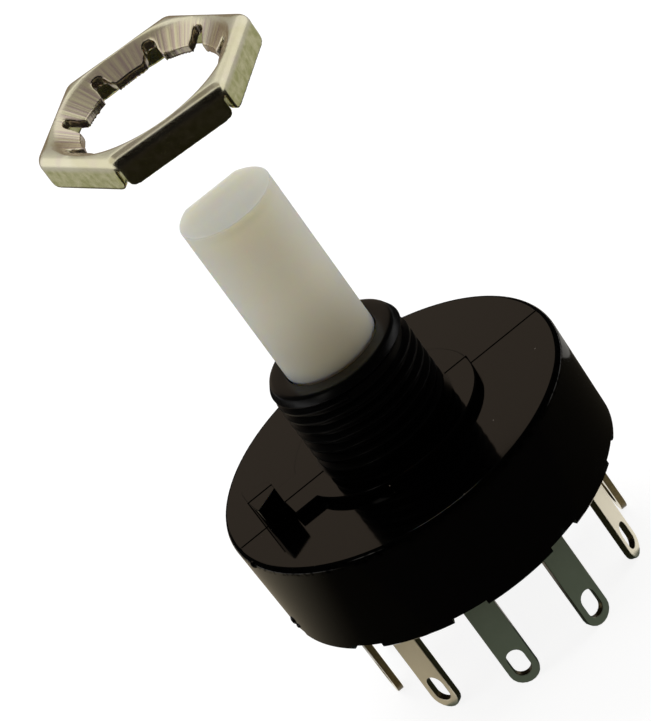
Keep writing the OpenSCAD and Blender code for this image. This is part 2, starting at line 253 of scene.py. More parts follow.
def seen_by_gloss_alone(card):
    for ray in ("camera", "diffuse", "transmission", "volume_scatter", "shadow"):
        setattr(card, "visible_" + ray, False)


def at(x, y, z):
    return Matrix.Translation((x * MM, y * MM, z * MM))


def upright(x, y, z):
    return at(x, y, z) @ Matrix.Rotation(math.pi / 2, 4, "X")


def facing_axis(x, y, z):
    return at(x, y, z) @ Matrix.Rotation(math.copysign(math.pi / 2, -x), 4, "Y")


def face_down(x, y, z):
    return at(x, y, z) @ Matrix.Rotation(math.pi, 4, "X")


def on_floor(x, y, lift=CARD_LIFT, turn_deg=0):
    return at(x, y, floor_mm + lift) @ Matrix.Rotation(math.radians(turn_deg), 4, "Z")


def swept_sheet(start, end, axis, degrees, steps):
    """A sheet swept by a line, drawn in millimetres, that turns about an axis through the origin"""
    bm = bmesh.new()
    bm.edges.new([bm.verts.new(Vector(corner) * MM) for corner in (start, end)])
    bmesh.ops.spin(bm, geom=bm.verts[:] + bm.edges[:], cent=ORIGIN, axis=axis, angle=math.radians(degrees),
                   steps=steps)
    return bm


canopy = swept_sheet((CANOPY_HALF_W, -CANOPY_R, floor_mm), (-CANOPY_HALF_W, -CANOPY_R, floor_mm), (-1, 0, 0),
                     CANOPY_DEG, CANOPY_STEPS)
seen_by_gloss_alone(stage_sheet("dark_canopy", canopy, card_paper("dark_canopy_paper", "#121110")))

# Each card has a name, a width and a height, a place and a colour
cards = [
    ("dark_front_floor", (700, 286), on_floor(0, -160, FRONT_LIFT), "#221f1d"),
    ("dark_roof", (120, 99), face_down(0, -25.5, ROOF_CARD_Z), ROOF_DARK),
    ("dark_roof_left_wing", (70, 56), face_down(-55, 52, ROOF_CARD_Z), ROOF_DARK),
    ("dark_roof_right_wing", (70, 56), face_down(55, 52, ROOF_CARD_Z), ROOF_DARK),
    ("warm_grey_behind", (84, 66), upright(5, 62, 17), "#897b6c"),
    ("dark_low_behind", (34, 13.5), upright(0, BEHIND_Y, -2.25), LOW_DARK),
    ("dark_left_behind", (15, 13), upright(-24.5, BEHIND_Y, LOW_CARD_Z), LOW_DARK),
    ("dark_right_behind", (15, 13), upright(24.5, BEHIND_Y, LOW_CARD_Z), LOW_DARK),
    ("dark_left_side", (13, 42), facing_axis(-BESIDE_X, 1, LOW_CARD_Z), LOW_DARK),
    ("dark_right_side", (13, 58), facing_axis(BESIDE_X, -7, LOW_CARD_Z), LOW_DARK),
    ("grey_far_behind", (500, 330), upright(0, 320, 149), "#bcbcba"),
    ("mauve_above_nut", (50, 49), face_down(0, 2.5, HIGH_CARD_Z), "#908b88"),
    ("cream_above_left", (65, 49), face_down(-57.5, 2.5, HIGH_CARD_Z), "#e2dfd6"),
    ("grey_above_right", (65, 49), face_down(57.5, 2.5, HIGH_CARD_Z), "#a8a5a0"),
    ("green_grey_before_lugs", (24, 10.7), on_floor(0.5, -14.85), GREEN_GREY),
    ("green_grey_under_lugs", (16, 6), on_floor(0, -6.5), GREEN_GREY),
    ("grey_under_left_lugs", (12.5, 5), on_floor(-14.25, -3.7), "#bab4a8"),
    ("white_under_right_lugs", (12, 7), on_floor(14, -3), "#ffffff"),
    ("pale_strip_behind_right", (18, 6), on_floor(25, 17.7, turn_deg=-40), "#8c8a85"),
    ("pale_spot_front_left", (9, 7), face_down(-24, -15, SPOT_Z), "#d8d4cc"),
]
for name, size, place, hex_code in cards:
    seen_by_gloss_alone(stage_sheet(name, plane(size, place), card_paper(name + "_paper", hex_code)))
print("cards:", len(cards) + 1)

# %% [markdown]
# The floor that the gloss mirrors is a sheet of its own. It is dark close to the object, grows paler
# towards the back left, and turns to a clear grey far out on both sides, where the nut's flanges look.

# %% Shaded floor that only gloss sees
RING_IN, RING_OUT, RING_LIFT, RING_STEPS = 12.2, 400, 0.01, 72
# A fade is a pair of places in millimetres, where it starts and where it ends
BACK_LEFT, BACK_FADE = (-0.4, 0.92, 0), (4, 26)
NEAR_DARK, NEAR_LIGHT = 0.02, 0.28
SIDE_FADE, SIDE_LIGHT = (34, 60), 0.5

shaded_floor, tree = new_material("shaded_floor_paper")
place = add_node(tree, "TexCoord", {}).outputs["Object"]
across = add_node(tree, "VectorMath", {0: place, 1: BACK_LEFT}, operation="DOT_PRODUCT")
near = add_node(tree, "MapRange", {
    "Value": across, "From Min": BACK_FADE[0] * MM, "From Max": BACK_FADE[1] * MM,
    "To Min": NEAR_DARK, "To Max": NEAR_LIGHT,
}, interpolation_type="SMOOTHSTEP")
along = add_node(tree, "SeparateXYZ", {"Vector": place}).outputs["X"]
sideways = add_node(tree, "Math", {0: along}, operation="ABSOLUTE")
outer = add_node(tree, "MapRange", {
    "Value": sideways, "From Min": SIDE_FADE[0] * MM, "From Max": SIDE_FADE[1] * MM,
}, interpolation_type="SMOOTHSTEP")
brightness = add_node(tree, "MapRange", {"Value": outer, "To Min": near, "To Max": SIDE_LIGHT})
paper_tone = add_node(tree, "Mix", {FACTOR: outer, COLOUR_A: linear("#ffefcf"), COLOUR_B: linear("#ffffff")},
                      data_type="RGBA")
surface_from(tree, add_node(tree, "Emission", {"Color": paper_tone, "Strength": brightness}))

ring_z = floor_mm + RING_LIFT
floor_ring = swept_sheet((RING_IN, 0, ring_z), (RING_OUT, 0, ring_z), AXIS, 360, RING_STEPS)
seen_by_gloss_alone(stage_sheet("shaded_floor_ring", floor_ring, shaded_floor))
print("shaded floor from", RING_IN, "to", RING_OUT, "mm")

# %% [markdown]
# Four soft lamps light the object. The largest stands behind and above, so that light comes through the
# milky shaft towards the camera, and a weak warm one stands in front, which warms the near side of the
# shaft; the shaft's colour is also painted creamier there, as painted warm light. The cards already give the
# gloss its picture of the room, so the lamps leave no image of themselves in it.

# %% Soft lamps
def soft_lamp(name, place, size, watts, hex_code="#ffffff"):
    data = bpy.data.lights.new(name, "AREA")
    data.size = size * MM
    data.energy = watts
    data.color = linear(hex_code)[:3]
    lamp = bpy.data.objects.new(name, data)
    lamp.location = Vector(place) * MM
    lamp.rotation_euler = (AIM_POINT - lamp.location).to_track_quat("-Z", "Y").to_euler()
    lamp.visible_glossy = False
    bpy.context.collection.objects.link(lamp)


soft_lamp("back_softbox", (-30, 300, 330), 320, 1.0)
soft_lamp("left_softbox", (-400, -10, 180), 260, 0.3)
soft_lamp("right_softbox", (420, 40, 200), 260, 0.47)
soft_lamp("warm_front_softbox", (-20, -380, 150), 220, 0.1, "#ffdb90")
print("lamps:", len(bpy.data.lights))

# %% [markdown]
# ## Tools for shapes
# The pieces are drawn in millimetres, as on a workshop drawing, and turned to metres when they are
# finished. Most of this object is turned or moulded round one axis: a half section is drawn as a wire, its
# corners are rounded with a vertex bevel, and a spin makes the solid. A flat outline is filled and extruded
# instead.

# %% Helpers for drawing
SAME = 1e-4


def wire(bm, corners, plane_of):
    """Draws a closed wire of (a, b, rounding) corners, and rounds each corner that has a rounding"""
    verts = [bm.verts.new(plane_of(a, b)) for a, b, _ in corners]
    for start, end in zip(verts, verts[1:] + verts[:1]):
        bm.edges.new((start, end))
    for vert, (_, _, rounding) in zip(verts, corners):
        if rounding:
            bmesh.ops.bevel(bm, geom=[vert], offset=rounding, offset_type="OFFSET", affect="VERTICES",
                            segments=5, profile=0.5, material=-1)


def tidy(bm):
    bmesh.ops.remove_doubles(bm, verts=bm.verts, dist=SAME)
    bmesh.ops.recalc_face_normals(bm, faces=bm.faces)
    return bm


def everything(bm):
    return bm.verts[:] + bm.edges[:] + bm.faces[:]


def verts_in(geom):
    return [part for part in geom if isinstance(part, bmesh.types.BMVert)]


def turned(corners, steps=144):
    """A solid turned from a half section of (radius, height, rounding) corners"""
    bm = bmesh.new()
    wire(bm, corners, lambda r, z: (r, 0, z))
    bmesh.ops.spin(bm, geom=everything(bm), cent=ORIGIN, axis=AXIS, angle=math.tau, steps=steps,
                   use_merge=True)
    return tidy(bm)


def raise_outline(bm, depth):
    """Fills a closed outline and extrudes it by the vector depth"""
    flat = bmesh.ops.contextual_create(bm, geom=bm.edges[:])["faces"]
    raised = bmesh.ops.extrude_face_region(bm, geom=flat)["geom"]
    bmesh.ops.translate(bm, vec=depth, verts=verts_in(raised))
    return tidy(bm)


def prism(corners, plane_of, depth):
    """A solid drawn as a flat outline of (a, b, rounding) corners and extruded by the vector depth"""
    bm = bmesh.new()
    wire(bm, corners, plane_of)
    return raise_outline(bm, depth)


def block(x_low, x_high, y_low, y_high, low, high):
    corners = [(x_low, y_low, 0), (x_high, y_low, 0), (x_high, y_high, 0), (x_low, y_high, 0)]
    return prism(corners, lambda x, y: (x, y, low), (0, 0, high - low))


def round_bar(radius, low, high, segments=96):
    bm = bmesh.new()
    bmesh.ops.create_cone(bm, cap_ends=True, segments=segments, radius1=radius, radius2=radius,
                          depth=high - low)
    bmesh.ops.translate(bm, vec=(0, 0, (low + high) / 2), verts=bm.verts)
    return bm


def arc_plate(radius, middle, sweep, corners, low, high, steps=96):
    """A plate whose outline is an arc about the axis, closed by straight lines through (x, y) corners"""
    bm = bmesh.new()
    begin = middle - sweep / 2
    first = bm.verts.new((radius * math.cos(begin), radius * math.sin(begin), low))
    last = bmesh.ops.spin(bm, geom=[first], cent=ORIGIN, axis=AXIS, angle=sweep, steps=steps)["geom_last"][0]
    chain = [last] + [bm.verts.new((x, y, low)) for x, y in corners] + [first]
    for start, end in zip(chain, chain[1:]):
        bm.edges.new((start, end))
    return raise_outline(bm, (0, 0, high - low))


print("merged within mm:", SAME)

# %% [markdown]
# Pieces that a mould joins are joined with an exact Boolean. A finished piece takes the place of its CAD
# node, rides on that node's body, and has weighted normals, which keep the flat faces flat beside their
# rounded edges. That matters on a mirror finish.

# %% Helpers for joining and finishing
def edge_at(height):
    return lambda edge: all(abs(vert.co.z - height) < SAME for vert in edge.verts)


def round_edges(bm, chosen, radius, segments=3):
    bmesh.ops.bevel(bm, geom=[edge for edge in bm.edges if chosen(edge)], offset=radius, offset_type="OFFSET",
                    affect="EDGES", segments=segments, profile=0.5, material=-1)
    return bm


def turn_about_axis(bm, angle):
    bmesh.ops.rotate(bm, cent=ORIGIN, matrix=Matrix.Rotation(angle, 3, "Z"), verts=bm.verts)


def ring_of(bm, count, first_deg=0.0):
    """Repeats a shape round the axis, the first copy turned by first_deg"""
    turn_about_axis(bm, math.radians(first_deg))
    bmesh.ops.spin(bm, geom=everything(bm), cent=ORIGIN, axis=AXIS, angle=math.tau * (count - 1) / count,
                   steps=count - 1, use_duplicate=True)
    return bm


def add_modifier(obj, name, kind, **options):
    made = obj.modifiers.new(name, kind)
    for option, value in options.items():
        setattr(made, option, value)


def evaluated(obj, *helpers):
    """The object's mesh with its modifiers applied, as a bmesh. The scratch objects are removed."""
    bm = bmesh.new()
    bm.from_object(obj, bpy.context.evaluated_depsgraph_get())
    for scratch in (obj, *helpers):
        bpy.data.objects.remove(scratch)
    return bm


def combine(base, tool, operation):
    """Joins, cuts or intersects two closed solids"""
    base_object, tool_object = object_from(base, "scratch"), object_from(tool, "scratch")
    add_modifier(base_object, "combine", "BOOLEAN", object=tool_object, operation=operation, solver="EXACT")
    return tidy(evaluated(base_object, tool_object))


def open_edges(bm):
    return [edge for edge in bm.edges if len(edge.link_faces) != 2]


def finish_piece(bm, name, body, node, slot, *materials, sharp_deg=32):
    """Turns a shape in millimetres into a finished piece that stands for a CAD node"""
    bmesh.ops.scale(bm, vec=(MM, MM, MM), verts=bm.verts)
    loose = len(open_edges(bm))
    piece = object_from(bm, name)
    piece.data.shade_smooth()
    piece.data.set_sharp_from_angle(angle=math.radians(sharp_deg))
    for material in materials:
        piece.data.materials.append(material)
    add_modifier(piece, "flat_faces_stay_flat", "WEIGHTED_NORMAL", keep_sharp=True)
    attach(piece, body)
    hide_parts(node)
    print(name, "faces:", len(piece.data.polygons), "open edges:", loose)


# %% [markdown]
# ## Black phenolic
# The housing is a compression moulding in black phenolic. Such a moulding comes out of a polished mould
# with a gloss that mirrors its surroundings, and it has almost no colour of its own. A faint unevenness in
# the gloss keeps it from looking like lacquer, and a few specks of pale dust lie on it, as on any dark
# glossy part. The bushing, whose mould is cut rather than polished, is duller.

# %% Gloss and dust on the housing
BUSHING_FADE, BUSHING_ROUGH = (5.0, 4.8), 0.3
# A speck of dust fills this share of a cell of its pattern
SPECK_REACH = 0.018

black_phenolic, tree = new_material("black_phenolic_moulded")
place = add_node(tree, "TexCoord", {}).outputs["Object"]
haze = add_node(tree, "TexNoise", {"Vector": place, "Scale": per_size(1.6), "Detail": 4.0})
gloss = add_node(tree, "MapRange", {"Value": haze, "To Min": 0.04, "To Max": 0.1})
level = add_node(tree, "VectorMath", {0: place, 1: (1, 1, 0)}, operation="MULTIPLY")
from_axis = add_node(tree, "VectorMath", {0: level}, operation="LENGTH")
bushing = add_node(tree, "MapRange", {
    "Value": from_axis, "From Min": BUSHING_FADE[0] * MM, "From Max": BUSHING_FADE[1] * MM,
})
rough = add_node(tree, "MapRange", {"Value": bushing, "To Min": gloss, "To Max": BUSHING_ROUGH})
specks = add_node(tree, "TexVoronoi", {"Vector": place, "Scale": per_size(1.9)}).outputs["Distance"]
dust = add_node(tree, "Math", {0: specks, 1: SPECK_REACH}, operation="LESS_THAN")
tint = add_node(tree, "Mix", {FACTOR: dust, COLOUR_A: linear("#010101"), COLOUR_B: linear("#8f8a80")},
                data_type="RGBA")
ripple = add_node(tree, "TexNoise", {"Vector": place, "Scale": per_size(0.5), "Detail": 2.0})
bump = add_node(tree, "Bump", {"Height": ripple, "Strength": 0.08, "Distance": 0.01 * MM})
print("bushing duller inside mm:", BUSHING_FADE[0])

# %% [markdown]
# Along the front edge, where flash has been broken off, the gloss is interrupted, so its highlight is a row
# of dots. A mask between two heights picks the edge, and a fine noise breaks the mirror there.

# %% Broken gloss on the front edge
EDGE_FOOT, EDGE_HEAD = (-1.15, -1.05), (-0.62, -0.66)

height = add_node(tree, "SeparateXYZ", {"Vector": place}).outputs["Z"]
above, below = [
    add_node(tree, "MapRange", {"Value": height, "From Min": start * MM, "From Max": end * MM})
    for start, end in (EDGE_FOOT, EDGE_HEAD)
]
edge_band = add_node(tree, "Math", {0: above, 1: below}, operation="MULTIPLY")
dots = add_node(tree, "TexNoise", {"Vector": place, "Scale": per_size(0.28), "Detail": 1.0})
broken = add_node(tree, "MapRange", {"Value": dots, "From Min": 0.42, "From Max": 0.6})
dull = add_node(tree, "Math", {0: edge_band, 1: broken}, operation="MULTIPLY")
shine = add_node(tree, "MapRange", {"Value": dull, "To Min": 0.5, "To Max": 0.06})
surface_from(tree, add_node(tree, "BsdfPrincipled", {
    "Base Color": tint, "Roughness": rough, "IOR": 1.55, "Normal": bump, "Specular IOR Level": shine,
}))
print("finish:", black_phenolic.name)

# %% [markdown]
# ## Housing
# The housing is one moulding: a shallow cup, a collar that meets the panel, an arm that runs to a key, and
# a bushing with a fine thread. The cup and the bushing share one half section, so they are turned together.
# The CAD solid has the thread as a plain cylinder at its crest, and here the ridge is a small section spun
# round the axis with a rise at each step, which makes a helix. It ends under the coned lead.

# %% Cup and bushing
housing_low, housing_high = (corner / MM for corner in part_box("housing"))
BODY_R, RIM_R = housing_high.x, 11.87
FACE_Z, RIM_Z, BUSHING_Z = -0.6, housing_low.z, housing_high.z
EDGE_R, RIM_CHAMFER = 0.35, 0.12
CREST_R, THREAD_TOP = mount_dims["bushing_thread"]["r_mm"], mount_dims["bushing_thread"]["length_mm"]
ROOT_R, LEAD_R, LEAD_ROUND = 4.3, 4.35, 0.2
LEAD_BACK, LEAD_EDGE = 0.3, 0.06
BORE_R, MOUTH_ROUND = 3.225, 0.1
ROOM_R, ROOF_Z = 8.77, -2.2
POCKET_R, POCKET_ROUND, SEAT_Z = 10.55, 0.1, -4.9

housing = turned([
    (BORE_R, ROOF_Z, 0),
    (BORE_R, BUSHING_Z, MOUTH_ROUND),
    (LEAD_R, BUSHING_Z, LEAD_ROUND),
    (CREST_R, THREAD_TOP, LEAD_EDGE),
    (ROOT_R, THREAD_TOP - LEAD_BACK, LEAD_EDGE),
    (ROOT_R, FACE_Z, 0),
    (BODY_R, FACE_Z, EDGE_R),
    (RIM_R, RIM_Z + RIM_CHAMFER, 0),
    (RIM_R - RIM_CHAMFER, RIM_Z, 0),
    (POCKET_R, RIM_Z, POCKET_ROUND),
    (POCKET_R, SEAT_Z, 0),
    (ROOM_R, SEAT_Z, 0),
    (ROOM_R, ROOF_Z, 0),
])
print("cup faces:", len(housing.faces), "open edges:", len(open_edges(housing)))

# %% Thread of the bushing
PITCH = 25.4 / 32
SUNK_R, SUNK_HALF = ROOT_R - 0.1, 0.39
CREST_HALF, CREST_ROUND = 0.09, 0.05
STEPS_A_TURN = 71
thread_steps = round((THREAD_TOP - CREST_HALF - SUNK_HALF) / PITCH * STEPS_A_TURN)

thread = bmesh.new()
wire(thread, [
    (SUNK_R, -SUNK_HALF, 0), (CREST_R, -CREST_HALF, CREST_ROUND),
    (CREST_R, CREST_HALF, CREST_ROUND), (SUNK_R, SUNK_HALF, 0),
], lambda r, z: (r, 0, z))
bmesh.ops.spin(thread, geom=everything(thread), cent=ORIGIN, axis=AXIS, dvec=(0, 0, PITCH / STEPS_A_TURN),
               angle=thread_steps * math.tau / STEPS_A_TURN, steps=thread_steps)
bmesh.ops.holes_fill(thread, edges=open_edges(thread), sides=0)
housing = combine(housing, tidy(thread), "UNION")
print("thread turns:", round(thread_steps / STEPS_A_TURN, 2), "faces:", len(housing.faces))

# %% [markdown]
# The collar and the arm have one flat top, the seat for the panel, so they are one plate: an arc that two
# straight lines leave for the key. Its top edge is slightly broken. The key is a wedge, narrow towards the
# axis. Both reach a little into the face, so that the Boolean has no faces that only touch.

# %% Panel seat and key
COLLAR_R, ARM_W, SEAT_ROUND = 6.5, 3.9, 0.1
KEY_IN, KEY_OUT, KEY_W, KEY_HALF_DEG = 7.9, 9.7, 1.26, 9.56
KEY_TOP, KEY_STEPS = FACE_Z + 2.15, 12
KEY_LAP, KEY_CORNER, KEY_EDGE = 0.02, 0.12, 0.05
SUNK = 0.3
# In radians, between the faces on both sides of an edge
SHARP_CORNER = 0.4
arm_angle = math.asin(ARM_W / 2 / COLLAR_R)
key_angle = math.radians(KEY_HALF_DEG)
key_foot = -KEY_IN + KEY_LAP


def upright_corner(edge):
    return edge.verts[0].co.z != edge.verts[1].co.z and edge.calc_face_angle() > SHARP_CORNER


seat = arc_plate(COLLAR_R, 0, math.tau - 2 * arm_angle, [(-KEY_IN, ARM_W / 2), (-KEY_IN, -ARM_W / 2)],
                 FACE_Z - SUNK, 0)
round_edges(seat, edge_at(0), SEAT_ROUND)
seat = combine(seat, round_bar((BORE_R + ROOT_R) / 2, FACE_Z - 2 * SUNK, 2 * SUNK), "DIFFERENCE")
key = arc_plate(KEY_OUT, math.pi, 2 * key_angle, [(key_foot, -KEY_W / 2), (key_foot, KEY_W / 2)],
                FACE_Z - SUNK, KEY_TOP, KEY_STEPS)
round_edges(key, upright_corner, KEY_CORNER)
round_edges(key, edge_at(KEY_TOP), KEY_EDGE)
for moulded in (seat, key):
    housing = combine(housing, moulded, "UNION")
print("with seat and key, faces:", len(housing.faces), "open edges:", len(open_edges(housing)))

# %% Notches in the rim and detent scallops inside the cup
POSITIONS = mount_dims["solder_lugs"]["count"]
NOTCH_W, NOTCH_DEPTH = 2.4, 0.4
SCALLOP_R, SCALLOP_AT, SCALLOP_TOP = 1.0, 8.1, -2.74
SCALLOP_STEPS, SCALLOP_DEG = 32, 90

notch = block(POCKET_R - SUNK, BODY_R + SUNK, -NOTCH_W / 2, NOTCH_W / 2, RIM_Z - SUNK, RIM_Z + NOTCH_DEPTH)
housing = combine(housing, ring_of(notch, POSITIONS), "DIFFERENCE")

scallop = round_bar(SCALLOP_R, SEAT_Z - SUNK, SCALLOP_TOP, SCALLOP_STEPS)
bmesh.ops.translate(scallop, vec=(SCALLOP_AT, 0, 0), verts=scallop.verts)
housing = combine(housing, ring_of(scallop, POSITIONS, SCALLOP_DEG), "DIFFERENCE")
print("with notches and scallops, faces:", len(housing.faces), "open edges:", len(open_edges(housing)))

# %% [markdown]
# A two-part mould leaves a fine raised line where its halves meet. Here it crosses the face, the collar,
# the arm and the key in one plane through the axis. A thin fin, drawn a hair proud of the outline, follows
# every step of the surface and is joined to the moulding. Two crumbs of flash are left on the wall at the
# end of that line, and the lower one is made of two small eggs.

# %% Parting line and flash
LINE_W, LINE_H = 0.07, 0.045
line_start, line_end, line_low = CREST_R + 0.1, BODY_R - EDGE_R, FACE_Z - SUNK
seat_line, face_line, key_line = LINE_H, FACE_Z + LINE_H, KEY_TOP + LINE_H
collar_line, key_in_line, key_out_line = COLLAR_R + LINE_H, -KEY_IN + LINE_H, -KEY_OUT - LINE_H
right_line = [
    (line_start, line_low), (line_start, seat_line), (collar_line, seat_line), (collar_line, face_line),
    (line_end, face_line), (line_end, line_low),
]
left_line = [
    (-line_start, line_low), (-line_start, seat_line), (key_in_line, seat_line), (key_in_line, key_line),
    (key_out_line, key_line), (key_out_line, face_line), (-line_end, face_line), (-line_end, line_low),
]
# Each egg has a radius, an angle and a height, and half sizes outwards, round the wall and along the axis
FLASH_EGGS = [
    (11.95, 190, -0.9, (0.22, 0.42, 0.24)),
    (11.85, 183, -6.6, (0.19, 0.17, 0.38)),
    (11.84, 184.5, -6.95, (0.17, 0.2, 0.2)),
]


def parting_fin(outline):
    return prism([(x, z, 0) for x, z in outline], lambda x, z: (x, -LINE_W / 2, z), (0, LINE_W, 0))


def flash_egg(radius, degrees, z, halves):
    bm = bmesh.new()
    bmesh.ops.create_icosphere(bm, subdivisions=2, radius=1)
    bmesh.ops.scale(bm, vec=halves, verts=bm.verts)
    place = Matrix.Rotation(math.radians(degrees), 4, "Z") @ Matrix.Translation((radius, 0, z))
    bmesh.ops.transform(bm, matrix=place, verts=bm.verts)
    return bm


for trace in [parting_fin(right_line), parting_fin(left_line)] + [flash_egg(*egg) for egg in FLASH_EGGS]:
    housing = combine(housing, trace, "UNION")
finish_piece(housing, "moulded_housing", "switch_body", "housing", "black_phenolic", black_phenolic)

# %% [markdown]
# ## Natural nylon
# The shaft is uncoloured nylon. Light enters it and comes out again a millimetre or two away, which makes
# it milky, lightens its edges and hides the line between its end and its side. Subsurface scattering gives
# that. The near side, which the warm lamp in front lights, is also painted a creamier colour: painted warm
# light. Near the bushing the black moulding swallows the light that has entered, so the foot of the shaft is
# painted darker: painted shade. At the rim of the end light enters from two sides and would draw a bright
# line, so the colour is painted darker there: painted shade.

# %% Colour of the shaft, with painted light and shade
FRONT_TURN = (-0.3, -0.95)
FOOT_FADE, FOOT_SHADE = (6.2, 13.0), (0.42, 0.68)
NEAR_RIM, FAR_RIM = (-0.6, -3.0), (1.7, 2.45)
END_FADE, END_SHADE, ROUNDING_SHADE = (17.5, 18.4), 0.15, 0.5

natural_nylon, tree = new_material("natural_nylon_moulded")
coords = add_node(tree, "TexCoord", {}).outputs
facing = add_node(tree, "SeparateXYZ", {"Vector": coords["Normal"]}).outputs
where = add_node(tree, "SeparateXYZ", {"Vector": coords["Object"]}).outputs
front = add_node(tree, "MapRange", {
    "Value": facing["Y"], "From Min": FRONT_TURN[0], "From Max": FRONT_TURN[1],
})
# The side that faces the camera is painted a creamier colour than the far side: painted warm light.
milk_with_painted_warm_side = add_node(tree, "Mix", {FACTOR: front, COLOUR_A: linear("#dfe1da"), COLOUR_B: linear("#dbdacb")},
                data_type="RGBA")
# Towards the bushing the colour is painted darker, more on the near side: painted shade at the foot.
shade = add_node(tree, "MapRange", {"Value": front, "To Min": FOOT_SHADE[0], "To Max": FOOT_SHADE[1]})
depth = add_node(tree, "MapRange", {
    "Value": where["Z"], "From Min": FOOT_FADE[0] * MM, "From Max": FOOT_FADE[1] * MM,
    "To Min": shade, "To Max": 0.0,
}, interpolation_type="SMOOTHSTEP")
foot = add_node(tree, "Mix", {FACTOR: depth, COLOUR_A: milk_with_painted_warm_side, COLOUR_B: linear("#8a8066")}, data_type="RGBA")
# Near the rim of the end, on the near side and by the flat, and most on the rounding, the colour is painted
# darker: painted shade.
near, far = [
    add_node(tree, "MapRange", {"Value": where["Y"], "From Min": start * MM, "From Max": end * MM})
    for start, end in (NEAR_RIM, FAR_RIM)
]
outward = add_node(tree, "Math", {0: near, 1: far}, operation="MAXIMUM")
upward = add_node(tree, "MapRange", {
    "Value": where["Z"], "From Min": END_FADE[0] * MM, "From Max": END_FADE[1] * MM, "To Max": END_SHADE,
}, interpolation_type="SMOOTHSTEP")
painted_rim_shade_mask = add_node(tree, "Math", {0: outward, 1: upward}, operation="MULTIPLY")
tilt = add_node(tree, "Math", {0: 1.0, 1: facing["Z"]}, operation="SUBTRACT")
rounding = add_node(tree, "Math", {0: tilt, 1: facing["Z"]}, operation="MULTIPLY")
rim = add_node(tree, "Math", {0: rounding, 1: ROUNDING_SHADE, 2: painted_rim_shade_mask}, operation="MULTIPLY_ADD")
nylon = add_node(tree, "Mix", {FACTOR: rim, COLOUR_A: foot, COLOUR_B: linear("#1c1b18")}, data_type="RGBA")
print("foot shade fades out at mm:", FOOT_FADE[1])

# %% [markdown]
# The surface is a little dull, with the fine unevenness that a moulding in nylon has. That grain is drawn a
# quarter of a millimetre wide, coarser than the real one, so that it shows.

# %% Surface of the shaft
grain = add_node(tree, "TexNoise", {"Vector": coords["Object"], "Scale": per_size(0.25), "Detail": 3.0})
bump = add_node(tree, "Bump", {"Height": grain, "Strength": 0.15, "Distance": 0.02 * MM})
surface_from(tree, add_node(tree, "BsdfPrincipled", {
    "Base Color": nylon, "Roughness": 0.5, "IOR": 1.53, "Normal": bump,
    "Subsurface Weight": 1.0, "Subsurface Radius": (1.0, 0.75, 0.35), "Subsurface Scale": 4.0 * MM,
}))
print("finish:", natural_nylon.name)

# %% [markdown]
# ## Shaft
# The shaft and the rotor inside the cup are one moulding. The rotor has its detent hole, its stop tab and
# its pivot from the CAD solid, so a merged copy of that solid is cut off inside the bushing and kept. The
# free end above it is a round bar whose end is rounded as a mould for nylon rounds it, with the flat milled
# off its back.

# %% Free end and rotor
SHAFT_R = mount_dims["shaft_end"]["r_mm"]
SHAFT_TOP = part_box("shaft")[1].z / MM
SHAFT_STEPS, FLAT_D, TIP_ROUND = 144, 2.5, 0.07
RELIEF_R, RELIEF_TOP, CUT_Z = 2.95, BUSHING_Z + 0.05, 6.1
past_shaft = SHAFT_R + SUNK

free_end = round_bar(SHAFT_R, RELIEF_TOP, SHAFT_TOP, SHAFT_STEPS)
round_edges(free_end, edge_at(SHAFT_TOP), TIP_ROUND)
milled = block(-past_shaft, past_shaft, FLAT_D, past_shaft, RELIEF_TOP - SUNK, SHAFT_TOP + SUNK)
free_end = combine(free_end, milled, "DIFFERENCE")
neck = round_bar(RELIEF_R, CUT_Z - SUNK, RELIEF_TOP + SUNK)

rotor = bmesh.new()
rotor.from_mesh(frame["nodes"]["shaft"].data)
bmesh.ops.scale(rotor, vec=(1 / MM, 1 / MM, 1 / MM), verts=rotor.verts)
bmesh.ops.remove_doubles(rotor, verts=rotor.verts, dist=SAME)
bmesh.ops.bisect_plane(rotor, geom=everything(rotor), dist=SAME / 10, plane_co=(0, 0, CUT_Z), plane_no=AXIS,
                       clear_outer=True)
bmesh.ops.holes_fill(rotor, edges=open_edges(rotor), sides=0)
shaft = combine(combine(tidy(rotor), neck, "UNION"), free_end, "UNION")
finish_piece(shaft, "nylon_shaft", "rotor", "shaft", "natural_nylon", natural_nylon)

# %% [markdown]
# ## Tinned brass
# The terminals are stamped from tinned brass strip. The tin is a soft grey metal with a trace of the warm
# brass under it, dull rather than bright, with a fine grain that is drawn coarser so that it shows. The
# stamped edges cut through the tin, so they show bare brass, brown and rough, and that brass is painted
# darker than bare brass is: painted shade on the edges.

# %% Finish of the terminals
tinned_brass, tree = new_material("tinned_brass_strip")
place = add_node(tree, "TexCoord", {}).outputs["Object"]
blotch = add_node(tree, "TexNoise", {"Vector": place, "Scale": per_size(0.9), "Detail": 4.0})
tone = add_node(tree, "Mix", {FACTOR: blotch, COLOUR_A: linear("#cfc6ac"), COLOUR_B: linear("#dfd6bf")},
                data_type="RGBA")
dull = add_node(tree, "MapRange", {"Value": blotch, "To Min": 0.26, "To Max": 0.42})
grain = add_node(tree, "TexNoise", {"Vector": place, "Scale": per_size(0.2), "Detail": 3.0})
bump = add_node(tree, "Bump", {"Height": grain, "Strength": 0.15, "Distance": 0.01 * MM})
surface_from(tree, add_node(tree, "BsdfPrincipled", {
    "Base Color": tone, "Metallic": 1.0, "Roughness": dull, "Normal": bump,
}))

cut_brass, tree = new_material("bare_brass_cut_edge_painted_shade")
place = add_node(tree, "TexCoord", {}).outputs["Object"]
tears = add_node(tree, "TexNoise", {"Vector": place, "Scale": per_size(0.15), "Detail": 3.0})
